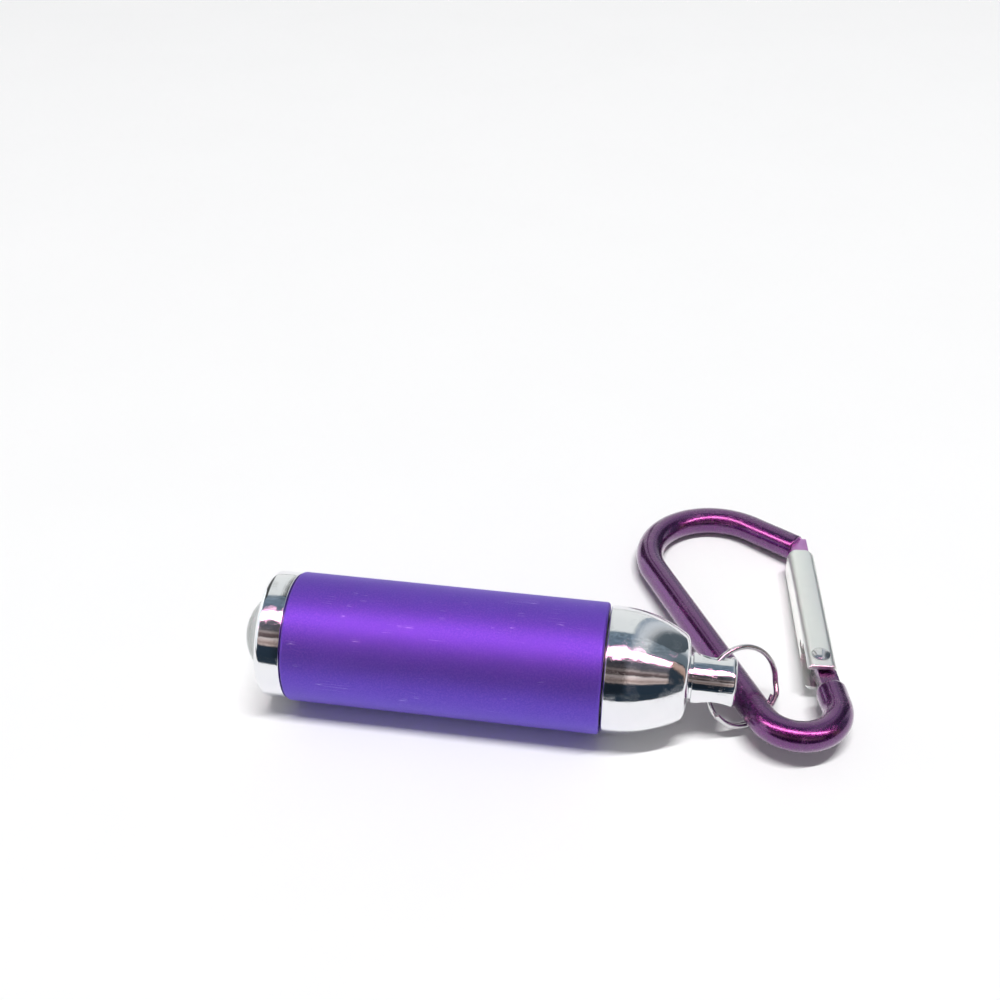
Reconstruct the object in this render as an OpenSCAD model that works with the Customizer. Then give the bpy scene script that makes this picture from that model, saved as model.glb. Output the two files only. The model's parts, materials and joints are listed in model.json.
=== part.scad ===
// Keychain zoom flashlight with a split ring and a small snap-gate carabiner.
// Millimetres. The flashlight lies on its side: +X points from the lens to the tail,
// +Z is up, and the origin is the middle of the whole object's footprint.

/* [Node] */
// Which node to draw

/* [Barrel] */
// Outer diameter of the sliding grip sleeve
barrel_d = 17; // [16.8:0.1:17.6]
// Length of the sleeve without bezel or tail
barrel_length = 40.8; // [40:0.2:41.6]
// Distance the sleeve slides on the core to focus the beam
zoom_travel = 9; // [7:0.5:9]
// Rounding of both sleeve ends
barrel_edge = 0.4; // [0.2:0.05:0.5]

/* [Bezel and lens] */
// Visible length of the chrome bezel
bezel_length = 3.45; // [3.2:0.05:3.6]
// Outer diameter of the bezel
bezel_d = 16.7; // [16.4:0.1:16.8]
// Height of the lens dome in front of its flange
dome_height = 4.3; // [3.6:0.1:4.6]

/* [Tail] */
// Length of the bullet-shaped tail cap
cap_length = 10.5; // [10:0.1:11]
// Largest diameter of the tail cap
cap_d = 16.4; // [16.2:0.1:16.8]
// Diameter of the lanyard post
post_d = 6.7; // [6.4:0.1:7]
// Tilt of the cross hole in the post away from vertical
hole_tilt = 39; // [35:1:43]

/* [Ring and carabiner] */
// Diameter of the split ring measured at the wire centre
ring_d = 10.44; // [10.4:0.02:10.5]
// Thickness of the ring wire
ring_wire = 0.66; // [0.6:0.02:0.68]
// Diameter of the carabiner bar
bar_d = 4; // [3.8:0.05:4]
// Angle the gate leans away from the carabiner's long axis
gate_lean = 11.4; // [11:0.1:12]

/* [Hidden] */
$fn = 96;
step = 0.05;
barrel_r = barrel_d / 2;
half = barrel_length / 2;

// Where the flashlight's middle sits in the object's own frame
axis_at = [-12.7, -17.64, 8.5];

// Core, held inside the barrel
core_r = 7.5;
core_bore = 6.3;
core_front = -11.5;
core_shoulder = half + 0.05;
thread_r = 6.9;
thread_end = core_shoulder + 4.75;
slide_bore = core_r + 0.05;
front_bore = 7.8;
stop_front = -9.35;
stop_rear = -8.05;
bore_step = stop_rear + zoom_travel + 0.1;
o_ring_wire = 0.7;
o_ring_centre = slide_bore - 0.03 - o_ring_wire / 2;
o_ring_at = [4.6, 9.2];

// Front end
bezel_r = bezel_d / 2;
bezel_rear = -half - 0.12;
bezel_front = bezel_rear - bezel_length;
spigot_r = front_bore - 0.05;
lens_bore = 7.15;
lip_bore = 6.53;
flange_r = 7.1;
flange_front = bezel_front + 1.1;
flange_rear = flange_front + 1.4;
dome_r = 6.05;
dome_ball = (dome_r * dome_r + dome_height * dome_height) / (2 * dome_height);
lens_apex = flange_front - dome_height;

// Stack inside the core
stack_r = core_bore - 0.04;
pill_front = -10.2;
pill_rear = -5.2;
board_t = 1;
spacer_rear = 4.3;
driver_t = 0.9;
cell_r = 5.8;
cell_t = 5.4;
cells_front = 7;
cells_rear = cells_front + 3 * cell_t;

// Tail
cap_front = half + 0.25;
cap_end = cap_front + cap_length;
cap_r = cap_d / 2;
cap_curve = 16.2;
cap_curve_at = 1;
cap_corner = 1.6;
spring_seat = cap_front + 7.4;
stud_r = 2;
post_r = post_d / 2;
post_front = cap_end + 0.35;
post_end = cap_end + 5.95;
post_hole_at = [cap_end + 3.35, 0, 0];
post_hole_r = 1.5;

// Ring: position and tilt measured from the flashlight's middle on its axis
ring_at = [38.131, 1.912, -2.433];
ring_turn = [0, 65.318, -54.729];
ring_r = ring_d / 2;

// Carabiner: its small eye is the local origin, +Y runs to the big end
eye_at = [45.406, 0.84, -4.333];
clip_turn = [-2.888, 0, 16];
bar_r = bar_d / 2;
small_eye_r = 5.18;
big_eye_r = 9.9;
big_eye_at = [-1.93, 32.9];
spine_lean = 11.6;
spine_start = [-small_eye_r * cos(spine_lean), -small_eye_r * sin(spine_lean)];
spine_length = 32.62;
heel_angle = -5;
heel_start = [small_eye_r * cos(heel_angle), small_eye_r * sin(heel_angle)];
heel_length = 4.7;
nose_angle = 41.8;
nose_start = [big_eye_at[0] + big_eye_r * cos(nose_angle), big_eye_at[1] + big_eye_r * sin(nose_angle)];
nose_length = 7.7;
tongue_t = 2.2;
tongue_w = 2.5;

// Gate: its rivet is the local origin, +Y runs along the channel
rivet_at = [5.45, 7.5, 0];
rivet_r = 0.7;
gate_w = 3.9;
gate_h = 4.3;
gate_wall = 0.6;
gate_round = 0.9;
gate_tip = 23.7;
gate_heel = 2.4;
gate_slit = 0.9;
gate_window = 5.2;

module torch() {
    translate(axis_at) children();
}

module on_axis() {
    torch() rotate([0, 90, 0]) children();
}

// A washer-shaped ring about the flashlight's axis
module tube(outer, inner, from, to) {
    translate([0, 0, from]) difference() {
        cylinder(r = outer, h = to - from);
        translate([0, 0, -1]) cylinder(r = inner, h = to - from + 2);
    }
}

module disc(r, from, to) {
    translate([0, 0, from]) cylinder(r = r, h = to - from);
}

module wire_loop(r, wire_r) {
    rotate_extrude() translate([r, 0]) circle(r = wire_r);
}

// Solid round stock whose two ends are rounded by edge
module round_stock(r, from, to, edge_front, edge_rear) {
    rotate_extrude() {
        translate([0, from + edge_front]) square([r, to - from - edge_front - edge_rear]);
        translate([0, from]) square([r - edge_front, edge_front + step]);
        translate([0, to - edge_rear - step]) square([r - edge_rear, edge_rear + step]);
        translate([r - edge_front, from + edge_front]) circle(r = edge_front);
        translate([r - edge_rear, to - edge_rear]) circle(r = edge_rear);
    }
}

module barrel() {
    color([0.36, 0.24, 0.72]) on_axis() difference() {
        round_stock(barrel_r, -half, half, barrel_edge, barrel_edge);
        disc(front_bore, -half - 1, bore_step);
        disc(slide_bore, -half, half + 1);
    }
}

module bezel() {
    color([0.85, 0.86, 0.88]) on_axis() difference() {
        union() {
            round_stock(bezel_r, bezel_front, bezel_rear, 0.9, 0.15);
            disc(spigot_r, bezel_rear - step, bezel_rear + 4);
        }
        disc(lip_bore, bezel_front - 1, bezel_rear + 5);
        disc(lens_bore, flange_front - 0.05, bezel_rear + 5);
        translate([0, 0, bezel_front - step])
            cylinder(r1 = lip_bore + 0.4, r2 = lip_bore, h = 0.4);
    }
}

module lens() {
    color([0.9, 0.95, 1, 0.4]) on_axis() rotate_extrude() {
        translate([0, flange_front]) square([flange_r, flange_rear - flange_front]);
        intersection() {
            translate([0, lens_apex + dome_ball]) circle(r = dome_ball);
            translate([0, lens_apex - 1]) square([dome_r, dome_height + 1 + step]);
        }
    }
}

module lens_seal() {
    color([0.08, 0.08, 0.08]) on_axis() rotate_extrude() {
        translate([dome_r + 0.09, flange_front - 0.6]) square([0.34, 0.57]);
        translate([dome_r + 0.26, flange_front - 0.6]) circle(r = 0.17);
    }
}

module lens_retainer() {
    color([0.15, 0.15, 0.16]) on_axis() tube(flange_r, 5.7, flange_rear + 0.03, flange_rear + 1.5);
}

module core_tube() {
    color([0.78, 0.79, 0.8]) on_axis() difference() {
        union() {
            disc(core_r, core_front, core_shoulder);
            disc(thread_r, core_shoulder - step, thread_end);
        }
        disc(core_bore, core_front - 1, thread_end + 1);
        tube(core_r + 1, 7, stop_front - 0.05, stop_rear + 0.05);
        for (at = o_ring_at)
            tube(core_r + 1, o_ring_centre - o_ring_wire / 2 - 0.02, at - 0.45, at + 0.45);
    }
}

module stop_ring() {
    color([0.5, 0.5, 0.52]) on_axis() difference() {
        tube(front_bore - 0.08, 7.02, stop_front, stop_rear);
        translate([0, -0.8, stop_front - 1]) cube([9, 1.6, 4]);
    }
}

module o_ring(at) {
    color([0.07, 0.07, 0.07]) on_axis() translate([0, 0, at])
        wire_loop(o_ring_centre, o_ring_wire / 2);
}

module led_collar() {
    color([0.9, 0.9, 0.88]) on_axis() difference() {
        union() {
            disc(stack_r, pill_front - board_t - 1.2, pill_front - board_t - 0.04);
            disc(4.6, pill_front - board_t - 1.9, pill_front - board_t - 1);
        }
        translate([-1.85, -1.85, -20]) cube([3.7, 3.7, 20]);
        translate([0, 0, pill_front - board_t - 2])
            cylinder(r1 = 3.9, r2 = 2.3, h = 1.3);
    }
}

module led_emitter() {
    color([0.93, 0.86, 0.35]) on_axis() translate([0, 0, pill_front - board_t]) {
        translate([-1.75, -1.75, -0.72]) cube([3.5, 3.5, 0.7]);
        translate([-1.4, -1.4, -0.95]) cube([2.8, 2.8, 0.3]);
    }
}

module led_board() {
    color([0.92, 0.92, 0.9]) on_axis() disc(5.9, pill_front - board_t, pill_front - 0.02);
}

module led_pill() {
    color([0.75, 0.6, 0.3]) on_axis() difference() {
        disc(stack_r, pill_front, pill_rear);
        disc(5.3, pill_front + 1.6, pill_rear + 1);
    }
}

module spacer_tube() {
    color([0.12, 0.12, 0.13]) on_axis() tube(stack_r, 5.2, pill_rear + 0.03, spacer_rear);
}

module driver_board() {
    color([0.1, 0.35, 0.2]) on_axis() {
        disc(6.1, spacer_rear + 0.03, spacer_rear + driver_t);
        translate([1.2, -1.5, spacer_rear - 0.9]) cube([2, 3, 1]);
        translate([-3.4, -0.8, spacer_rear - 0.6]) cube([1.2, 1.6, 0.7]);
    }
}

module front_contact() {
    color([0.85, 0.7, 0.35]) on_axis() {
        disc(2.4, spacer_rear + driver_t + 0.02, spacer_rear + driver_t + 0.32);
        disc(1.3, spacer_rear + driver_t + 0.3, cells_front - 0.03);
    }
}

module battery_sleeve() {
    color([0.85, 0.85, 0.8]) on_axis() tube(stack_r, cell_r + 0.06, cells_front - 0.1, cells_rear + 0.1);
}

module cell(index) {
    from = cells_front + index * cell_t;
    color([0.8, 0.81, 0.83]) on_axis() {
        disc(4.6, from + 0.02, from + 0.4);
        disc(cell_r, from + 0.35, from + cell_t);
    }
}

module tail_spring() {
    coils = 4;
    from = cells_rear + 0.5;
    rise = (spring_seat - 0.75 - from) / (coils - 1);
    color([0.7, 0.7, 0.72]) on_axis() {
        for (i = [0 : coils - 1])
            translate([0, 0, from + i * rise]) wire_loop(2.6 + i * 0.7, 0.32);
        for (i = [0 : coils - 2])
            translate([0, 2.6 + i * 0.7, from + i * rise])
                rotate([-atan(0.7 / rise), 0, 0]) cylinder(r = 0.3, h = sqrt(rise * rise + 0.49));
    }
}

module tail_cap() {
    corner_s = cap_length - cap_corner;
    corner_r = cap_r - cap_curve + sqrt(pow(cap_curve - cap_corner, 2) - pow(corner_s - cap_curve_at, 2));
    meet_s = cap_curve_at + (corner_s - cap_curve_at) * cap_curve / (cap_curve - cap_corner);
    color([0.85, 0.86, 0.88]) on_axis() difference() {
        translate([0, 0, cap_front]) rotate_extrude() {
            translate([0, 0.2]) square([cap_r, cap_curve_at - 0.2]);
            square([cap_r - 0.2, 0.4]);
            translate([cap_r - 0.2, 0.2]) circle(r = 0.2);
            intersection() {
                translate([cap_r - cap_curve, cap_curve_at]) circle(r = cap_curve, $fn = 200);
                translate([0, cap_curve_at - step]) square([cap_r, meet_s - cap_curve_at + step]);
            }
            square([corner_r, cap_length]);
            translate([corner_r, corner_s]) circle(r = cap_corner);
        }
        disc(thread_r + 0.07, cap_front - 1, thread_end + 0.2);
        disc(5.5, cap_front, spring_seat);
        disc(stud_r, cap_front, cap_end + 1);
    }
}

module tail_contact() {
    color([0.85, 0.7, 0.35]) on_axis() disc(5.3, spring_seat - 0.4, spring_seat - 0.03);
}

module tail_post() {
    color([0.85, 0.86, 0.88]) torch() difference() {
        rotate([0, 90, 0]) {
            disc(stud_r - 0.02, spring_seat + 0.03, cap_end + 0.5);
            disc(2.9, cap_end + 0.03, post_front + step);
            round_stock(post_r, post_front, post_end, 0.12, 0.55);
        }
        translate(post_hole_at) rotate([-hole_tilt, 0, 0]) {
            cylinder(r = post_hole_r, h = 10, center = true);
            for (side = [-1, 1]) scale([1, 1, side]) translate([0, 0, 1])
                cylinder(r1 = post_hole_r, r2 = post_hole_r + 1.1, h = 3);
        }
    }
}

// One closed turn of wire and a second turn lying on it over part of the way round
module split_ring() {
    color([0.72, 0.73, 0.75]) torch() translate(ring_at) rotate(ring_turn) {
        wire_loop(ring_r, ring_wire / 2);
        rotate([0, 0, 295]) translate([0, 0, ring_wire - 0.02])
            rotate_extrude(angle = 145) translate([ring_r, 0]) circle(r = ring_wire / 2);
    }
}

module clip() {
    torch() translate(eye_at) rotate(clip_turn) children();
}

// Straight bar, a hair thinner than the bends so that its ends sink cleanly into them
module bar_straight(from, heading, length, sink) {
    translate([from[0], from[1], 0]) rotate([0, 0, heading]) rotate([0, 90, 0])
        translate([0, 0, -0.3]) cylinder(r = bar_r - 0.03, h = length + 0.3 + sink);
}

module bar_bend(centre, radius, from, sweep) {
    translate([centre[0], centre[1], 0]) rotate([0, 0, from])
        rotate_extrude(angle = sweep) translate([radius, 0]) circle(r = bar_r);
}

// Flat tongue with a round end, lying along +X of the local frame
module tongue(length) {
    translate([0, -tongue_w / 2, -tongue_t / 2]) cube([length, tongue_w, tongue_t]);
    translate([length, 0, -tongue_t / 2]) cylinder(r = tongue_w / 2, h = tongue_t);
}

module carabiner_bar() {
    nose_heading = nose_angle - 90;
    nose_end = nose_start + nose_length * [cos(nose_heading), sin(nose_heading)];
    heel_heading = heel_angle + 90;
    color([0.42, 0.14, 0.48]) clip() difference() {
        union() {
            bar_bend([0, 0], small_eye_r, 180 + spine_lean, 180 + heel_angle - spine_lean);
            bar_straight(spine_start, 90 + spine_lean, spine_length, 0.3);
            bar_bend(big_eye_at, big_eye_r, nose_angle, 180 + spine_lean - nose_angle);
            bar_straight(nose_start, nose_heading, nose_length, 0);
            bar_straight(heel_start, heel_heading, heel_length, 0);
            translate([heel_start[0], heel_start[1], 0]) rotate([0, 0, heel_heading])
                translate([heel_length - 1, 0, 0]) tongue(rivet_at[1] - heel_start[1] - heel_length + 1.3);
            translate([nose_end[0], nose_end[1], 0]) rotate([0, 0, -90 - gate_lean])
                translate([-1, 0.35, 0]) tongue(5.6);
        }
        translate(rivet_at) cylinder(r = rivet_r + 0.05, h = 9, center = true);
    }
}

module gate_rivet() {
    color([0.8, 0.8, 0.82]) clip() translate(rivet_at) {
        cylinder(r = rivet_r, h = gate_h + 0.12, center = true);
        for (side = [-1, 1]) scale([1, 1, side]) translate([0, 0, gate_h / 2 + 0.03])
            intersection() {
                cylinder(r = 1.25, h = 1);
                translate([0, 0, -1.9]) sphere(r = 2.3);
            }
    }
}

// Outline of the gate across its length, rounded on all four corners
module gate_outline(inset) {
    w = gate_w - 2 * inset;
    h = gate_h - 2 * inset;
    r = gate_round - inset * 0.8;
    square([w - 2 * r, h], center = true);
    square([w, h - 2 * r], center = true);
    for (x = [-1, 1], y = [-1, 1]) translate([x * (w / 2 - r), y * (h / 2 - r)]) circle(r = r);
}

module gate() {
    slot = tongue_t + 0.7;
    color([0.82, 0.83, 0.85]) clip() translate(rivet_at) rotate([0, 0, -gate_lean])
        difference() {
            translate([0, gate_tip, 0]) rotate([90, 0, 0])
                linear_extrude(height = gate_tip + gate_heel) gate_outline(0);
            translate([0, gate_tip + 1, 0]) rotate([90, 0, 0])
                linear_extrude(height = gate_tip + gate_heel + 2) gate_outline(gate_wall);
            translate([0, -gate_heel - 1, -gate_slit / 2])
                cube([gate_w, gate_tip + gate_heel + 2, gate_slit]);
            translate([0, gate_tip - gate_window, -slot / 2]) cube([gate_w, gate_window + 1, slot]);
            translate([0, -gate_heel - 1, -slot / 2]) cube([gate_w, gate_window + 1, slot]);
            translate([-gate_w, -gate_heel - 1, -slot / 2]) cube([gate_w, gate_heel + 4, slot]);
            translate([-gate_w, -gate_heel - 1, -gate_slit / 2]) cube([gate_w, gate_heel + 6, gate_slit]);
            cylinder(r = rivet_r + 0.05, h = 9, center = true);
        }
}

module gate_spring() {
    color([0.6, 0.6, 0.62]) clip() translate(rivet_at) rotate([0, 0, -gate_lean]) {
        translate([-0.7, 3.1, 0]) rotate([-90, 0, 0]) cylinder(r = 0.3, h = 13);
        translate([-0.7, 3.1, 0]) sphere(r = 0.3);
        translate([-0.7, 16.1, 0]) sphere(r = 0.3);
        translate([-0.7, 16.1, -0.8]) cylinder(r = 0.3, h = 1.6);
    }
}

barrel();
bezel();
lens();
lens_seal();
lens_retainer();
core_tube();
stop_ring();
o_ring(o_ring_at[0]);  // front_o_ring
o_ring(o_ring_at[1]);  // rear_o_ring
led_collar();
led_emitter();
led_board();
led_pill();
spacer_tube();
driver_board();
front_contact();
battery_sleeve();
cell(0);  // cell_front
cell(1);  // cell_middle
cell(2);  // cell_rear
tail_spring();
tail_cap();
tail_contact();
tail_post();
split_ring();
carabiner_bar();
gate_rivet();
gate();
gate_spring();
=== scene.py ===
import json
import math

import bmesh
import bpy
from mathutils import Matrix, Vector


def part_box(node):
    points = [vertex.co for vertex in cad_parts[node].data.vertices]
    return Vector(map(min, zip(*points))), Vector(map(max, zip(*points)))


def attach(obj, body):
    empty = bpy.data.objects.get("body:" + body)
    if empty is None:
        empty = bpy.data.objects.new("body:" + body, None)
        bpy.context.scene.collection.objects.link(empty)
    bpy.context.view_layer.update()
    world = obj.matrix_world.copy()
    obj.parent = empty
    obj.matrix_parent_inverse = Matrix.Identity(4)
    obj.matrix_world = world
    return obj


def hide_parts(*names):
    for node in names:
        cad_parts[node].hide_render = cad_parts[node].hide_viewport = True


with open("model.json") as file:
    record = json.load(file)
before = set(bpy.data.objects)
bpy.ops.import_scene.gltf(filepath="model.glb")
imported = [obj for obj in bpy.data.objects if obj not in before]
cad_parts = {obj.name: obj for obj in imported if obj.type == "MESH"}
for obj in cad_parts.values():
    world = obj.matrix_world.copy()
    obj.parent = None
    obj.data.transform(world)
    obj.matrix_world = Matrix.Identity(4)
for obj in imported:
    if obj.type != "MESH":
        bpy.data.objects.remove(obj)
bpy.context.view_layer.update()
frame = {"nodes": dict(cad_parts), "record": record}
nodes = frame["nodes"]

# ---------------------------------------------------------------- sizes, in millimetres
MM = 0.001
barrel_lo, barrel_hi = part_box("barrel")
AXIS = (barrel_lo + barrel_hi) / 2          # middle of the barrel, on the flashlight's axis

HALF = 20.4                                 # half of the barrel's length
BARREL_R = 8.5
FRONT_BORE_R, REAR_BORE_R = 7.8, 7.55       # the barrel's bore, wider in front for the slide
BORE_STEP = 1.05                            # where the one gives way to the other
CORE_R = 7.5
CORE_BORE_R = 6.3
GROOVES, GROOVE_R = (9.2, 4.6), 6.815       # the O-rings' places, and the bottom of their grooves
STOP_GROOVE = (-9.4, -8.0, 7.0)             # from, to and bottom of the stop ring's groove
THREAD_R = 6.9
THREAD_PITCH = 0.75                         # as far as tail_feed moves in a turn
NUT_R = 6.97                                # crest of the tail cap's thread
NUT_ROOT_R = 7.25
BEZEL_R = 8.35
BEZEL_BORE_R = 7.75
BEZEL_SEAT_R = 7.15                         # where the lens's flange sits
BEZEL_LIP_R = 6.53
BEZEL_REAR = -HALF - 0.12
BEZEL_FRONT = BEZEL_REAR - 3.45
FLANGE_FRONT = BEZEL_FRONT + 1.1
FLANGE_REAR = FLANGE_FRONT + 1.4
DOME_R, DOME_H = 6.05, 4.3
CAP_FRONT = HALF + 0.25
CAP_LENGTH = 10.5
CAP_END = CAP_FRONT + CAP_LENGTH
CAP_R = 8.2
CAP_CURVE = 16.2
CAP_CURVE_AT = 1.0
CAP_CORNER = 1.6
CAP_HOLE_R = 2.02                           # where the post is pressed in
CAP_BORE_R = 5.5
SPRING_SEAT = CAP_FRONT + 7.4
POST_R = 3.35
POST_NECK_R = 2.9
POST_ROOT_R = 1.98
POST_HOLE_R, POST_HOLE_MOUTH_R = 1.5, 3.2
POST_FRONT = CAP_END + 0.35
POST_END = CAP_END + 5.95
POST_HOLE_AT = CAP_END + 3.35
POST_HOLE_TILT = 39
LED_FACE = -11.2
COLLAR_R = 6.26
RING_AT = (38.131, 1.912, -2.433)
RING_TURN = (0, 65.318, -54.729)
RING_R = 5.22
RING_WIRE = 0.66
EYE_AT = (45.406, 0.84, -4.333)
CLIP_TURN = (-2.888, 0, 16)
BAR_R = 2.0
SMALL_EYE_R = 5.18
BIG_EYE_R = 9.9
BIG_EYE_AT = (-1.93, 32.9)
SPINE_LEAN = 11.6
HEEL_ANGLE = -5
HEEL_LENGTH = 4.7
HEEL_BARE = 1.2                             # how much of the heel the milled tongue shows
NOSE_ANGLE = 41.8
NOSE_LENGTH = 7.7
TONGUE = (2.5, 2.2)                         # width and thickness
RIVET_AT = (5.45, 7.5)
RIVET_R = 0.7
RIVET_HOLE_R = RIVET_R + 0.05
GATE_LEAN = 11.4
GATE_W, GATE_H = 3.9, 4.3
GATE_WALL = 0.6
GATE_ROUND = 0.9
GATE_TIP, GATE_HEEL = 23.7, 2.4
GATE_SLIT = 0.9
GATE_WINDOW = 5.2

TURNS = 160                                 # steps round a lathed piece


def turned(degrees):
    """Rotation by Euler angles in degrees, X first, as OpenSCAD's rotate."""
    x, y, z = (math.radians(d) for d in degrees)
    return Matrix.Rotation(z, 4, "Z") @ Matrix.Rotation(y, 4, "Y") @ Matrix.Rotation(x, 4, "X")


TORCH = Matrix.Translation(AXIS / MM)
RING = TORCH @ Matrix.Translation(RING_AT) @ turned(RING_TURN)
CLIP = TORCH @ Matrix.Translation(EYE_AT) @ turned(CLIP_TURN)
RIVET = CLIP @ Matrix.Translation((*RIVET_AT, 0)) @ turned((0, 90, 0))
GATE = CLIP @ Matrix.Translation((*RIVET_AT, 0)) @ turned((0, 0, -GATE_LEAN))


# ---------------------------------------------------------------- mesh tools
def make(name, bm, place, sharp=35):
    """Turns a bmesh drawn in millimetres in the place's frame into a smooth object."""
    bmesh.ops.recalc_face_normals(bm, faces=bm.faces)
    bm.transform(Matrix.Scale(MM, 4) @ place)
    mesh = bpy.data.meshes.new(name)
    bm.to_mesh(mesh)
    bm.free()
    mesh.shade_smooth()
    mesh.set_sharp_from_angle(angle=math.radians(sharp))
    obj = bpy.data.objects.new(name, mesh)
    bpy.context.scene.collection.objects.link(obj)
    return obj


def rounded(points, steps=7):
    """Outline of (along, out, radius) corners, each corner with a radius turned into an arc."""
    result = []
    count = len(points)
    for i, (s, r, radius) in enumerate(points):
        here = Vector((s, r))
        if radius <= 0:
            result.append((s, r))
            continue
        back = (Vector(points[i - 1][:2]) - here).normalized()
        on = (Vector(points[(i + 1) % count][:2]) - here).normalized()
        half = math.acos(max(-1, min(1, back.dot(on)))) / 2
        if half > math.radians(89):
            result.append((s, r))
            continue
        reach = radius / math.tan(half)
        centre = here + (back + on).normalized() * (radius / math.sin(half))
        first = here + back * reach - centre
        last = here + on * reach - centre
        swing = first.angle_signed(last)
        for k in range(steps + 1):
            arm = first.copy()
            arm.rotate(Matrix.Rotation(-swing * k / steps, 2))
            result.append(tuple(centre + arm))
    return result


def revolve(bm, outline, closed, turns):
    """Revolves an outline of (along, radius) about X. A radius of 0 becomes a pole."""
    rings = []
    for s, r in outline:
        if r < 1e-6:
            rings.append([bm.verts.new((s, 0, 0))])
        else:
            rings.append([bm.verts.new((s, r * math.cos(a), r * math.sin(a)))
                          for a in (2 * math.pi * k / turns for k in range(turns))])
    pairs = list(zip(rings, rings[1:]))
    if closed:
        pairs.append((rings[-1], rings[0]))
    for one, two in pairs:
        if len(one) == 1 and len(two) == 1:
            continue
        for k in range(turns):
            n = (k + 1) % turns
            corners = [one[0]] if len(one) == 1 else [one[k], one[n]]
            corners += [two[0]] if len(two) == 1 else [two[n], two[k]]
            bm.faces.new(corners)


def lathe(name, outline, closed=True, place=None, turns=TURNS, sharp=35):
    bm = bmesh.new()
    revolve(bm, outline, closed, turns)
    return make(name, bm, TORCH if place is None else place, sharp)


def loft(bm, rings):
    """Skins rings of points that all have the same count, with flat end caps."""
    made = [[bm.verts.new(p) for p in ring] for ring in rings]
    count = len(made[0])
    for one, two in zip(made, made[1:]):
        for k in range(count):
            n = (k + 1) % count
            bm.faces.new((one[k], one[n], two[n], two[k]))
    bm.faces.new(made[0])
    bm.faces.new(made[-1])


def sweep_rings(path, section, up, edge=0.0, steps=5, end_edge=None):
    """Rings along a path; up is the binormal. The ends are rounded by edge and end_edge, which are
    shorter than the path's first and last steps, or the mesh would fold back on itself."""
    reach = max(abs(u) for u, _ in section)
    frames = []
    for i, p in enumerate(path):
        t = (path[min(i + 1, len(path) - 1)] - path[max(i - 1, 0)]).normalized()
        side = t.cross(up).normalized()
        frames.append((p, t, side, side.cross(t).normalized()))

    def ring(p, side, top, inset):
        k = (reach - inset) / reach
        return [p + side * (u * k) + top * (v * k) for u, v in section]

    def end_rings(edge, p, t, side, top):
        """From the inset end ring inwards; t points into the bar."""
        for k in range(steps):
            a = math.pi / 2 * k / steps
            yield ring(p + t * (edge * (1 - math.cos(a))), side, top, edge * (1 - math.sin(a)))

    if not edge:
        return [ring(p, side, top, 0) for p, t, side, top in frames]
    end_edge = end_edge or edge
    first, (p, t, side, top) = frames[0], frames[-1]
    start = list(end_rings(edge, *first))
    end = list(end_rings(end_edge, p, -t, side, top))[::-1]
    frames[0] = (first[0] + first[1] * edge, *first[1:])
    frames[-1] = (p - t * end_edge, t, side, top)
    return start + [ring(p, side, top, 0) for p, t, side, top in frames] + end


def round_section(radius, count):
    return [(radius * math.cos(a), radius * math.sin(a))
            for a in (2 * math.pi * k / count for k in range(count))]


def combine(how, obj, *others):
    """Cuts the others from obj (DIFFERENCE) or joins them to it (UNION), and leaves one clean mesh."""
    for other in others:
        step = obj.modifiers.new("combine", "BOOLEAN")
        step.operation = how
        step.solver = "EXACT"
        step.object = other
    bpy.context.view_layer.update()
    made = bpy.data.meshes.new_from_object(obj.evaluated_get(bpy.context.evaluated_depsgraph_get()))
    obj.modifiers.clear()
    bm = bmesh.new()
    bm.from_mesh(made)
    bmesh.ops.dissolve_degenerate(bm, dist=1e-4 * MM, edges=bm.edges[:])
    bm.to_mesh(made)
    bm.free()
    obj.data = made
    for other in others:
        bpy.data.objects.remove(other)
    obj.data.shade_smooth()
    obj.data.set_sharp_from_angle(angle=math.radians(35))
    return obj


def block(name, lo, hi, place):
    bm = bmesh.new()
    bmesh.ops.create_cube(bm, size=1)
    size = Vector(hi) - Vector(lo)
    middle = (Vector(hi) + Vector(lo)) / 2
    bm.transform(Matrix.Translation(middle) @ Matrix.Diagonal((*size, 1)))
    return make(name, bm, place)


def rounded_box(w, h, r):
    """Outline of a rectangle of half sizes w and h, with corners of radius r."""
    steps = 6
    ring = []
    u, v = w - r, h - r
    for cu, cv, start in ((u, v, 0), (-u, v, 90), (-u, -v, 180), (u, -v, 270)):
        for k in range(steps + 1):
            a = math.radians(start + 90 * k / steps)
            ring.append((cu + r * math.cos(a), cv + r * math.sin(a)))
    return ring


def show(obj, body, node, slot, finish=None):
    """Puts a new piece in a CAD node's stead, on its body, with its slot's finish or another."""
    obj.data.materials.clear()
    obj.data.materials.append(finish or FINISHES[slot])
    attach(obj, body)
    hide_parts(node)
    return obj


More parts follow.
